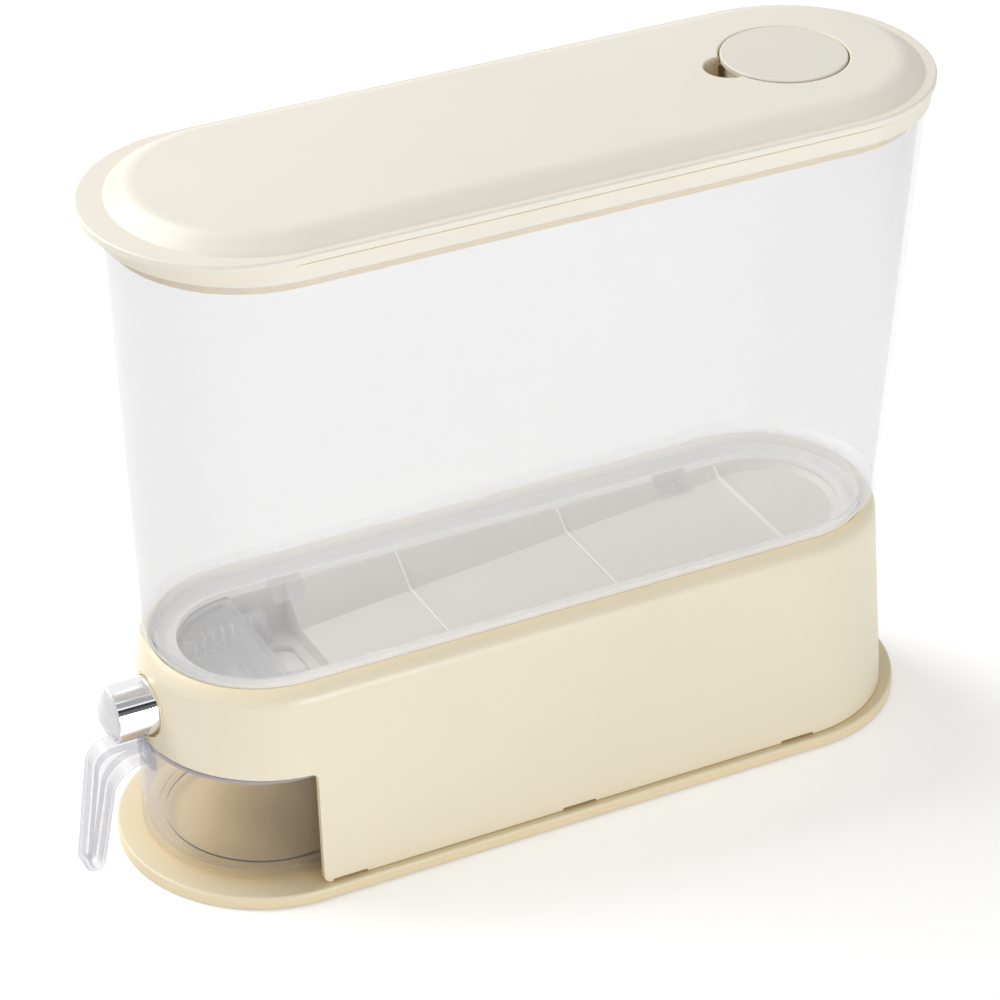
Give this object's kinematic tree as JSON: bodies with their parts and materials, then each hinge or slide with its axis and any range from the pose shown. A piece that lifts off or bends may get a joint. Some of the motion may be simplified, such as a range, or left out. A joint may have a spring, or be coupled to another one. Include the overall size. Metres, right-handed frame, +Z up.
{
  "type": "rice dispenser with drawer",
  "caption": "Countertop grain dispenser: tapered clear bin with a lift-off lid on a moulded base, push button, sliding gate and a pull-out measuring cup with a handle.",
  "frame": {"origin": "on the plane that the pads rest on, under the middle of the whole object from the handle's front to the lid's rear", "axes": "+Z up, +Y to the rear, -Y the side with the button and the cup's handle, +X the right side"},
  "size_m": [0.124, 0.384, 0.3031],
  "materials": {
    "cream_plastic": "satin moulded ABS, warm cream",
    "frosted_clear": "clear moulded plastic with a light frost",
    "clear_plastic": "clear glossy moulded plastic",
    "plated": "bright plated",
    "pearl": "pearl white, glossy",
    "white_plastic": "natural white acetal",
    "spring_steel": "drawn wire",
    "screw_steel": "zinc plated",
    "silicone": "translucent white silicone",
    "pad_rubber": "grey rubber"
  },
  "bodies": {
    "stand": {"base_plate": "cream_plastic", "foot_pads": "pad_rubber", "base_screws": "screw_steel", "housing_shell": "cream_plastic", "bay_liner": "cream_plastic", "outlet_chute": "white_plastic", "gate_rails": "white_plastic", "hopper_tray": "cream_plastic", "tray_screws": "screw_steel", "mechanism_guard": "frosted_clear", "return_springs": "spring_steel", "button_bush": "cream_plastic", "bin_tank": "frosted_clear", "bin_tongues": "frosted_clear", "bin_seal": "silicone"},
    "button": {"button_sleeve": "plated", "button_cap": "pearl", "push_rod": "white_plastic", "rod_screw": "screw_steel", "gate_slider": "white_plastic"},
    "cup": {"cup_body": "clear_plastic", "cup_handle": "clear_plastic"},
    "lid": {"lid_panel": "cream_plastic", "lid_frame": "cream_plastic", "lid_seal": "silicone", "desiccant_box": "cream_plastic"},
    "desiccant": {"desiccant_cap": "cream_plastic", "desiccant_seal": "silicone"}
  },
  "joints": [
    {"name": "button_press", "type": "slide", "parent": "stand", "child": "button", "axis": [0, 1, 0], "range_m": [0, 0.012], "stiffness_N_per_m": 250, "springref_m": -0.01, "deforming": ["return_springs"]},
    {"name": "cup_pull", "type": "slide", "parent": "stand", "child": "cup", "axis": [0, -1, 0], "range_m": [0, 0.125]},
    {"name": "lid_lift", "type": "slide", "parent": "stand", "child": "lid", "axis": [0, 0, 1], "range_m": [0, 0.06]},
    {"name": "desiccant_lift", "type": "slide", "parent": "lid", "child": "desiccant", "axis": [0, 0, 1], "range_m": [0, 0.022]}
  ]
}
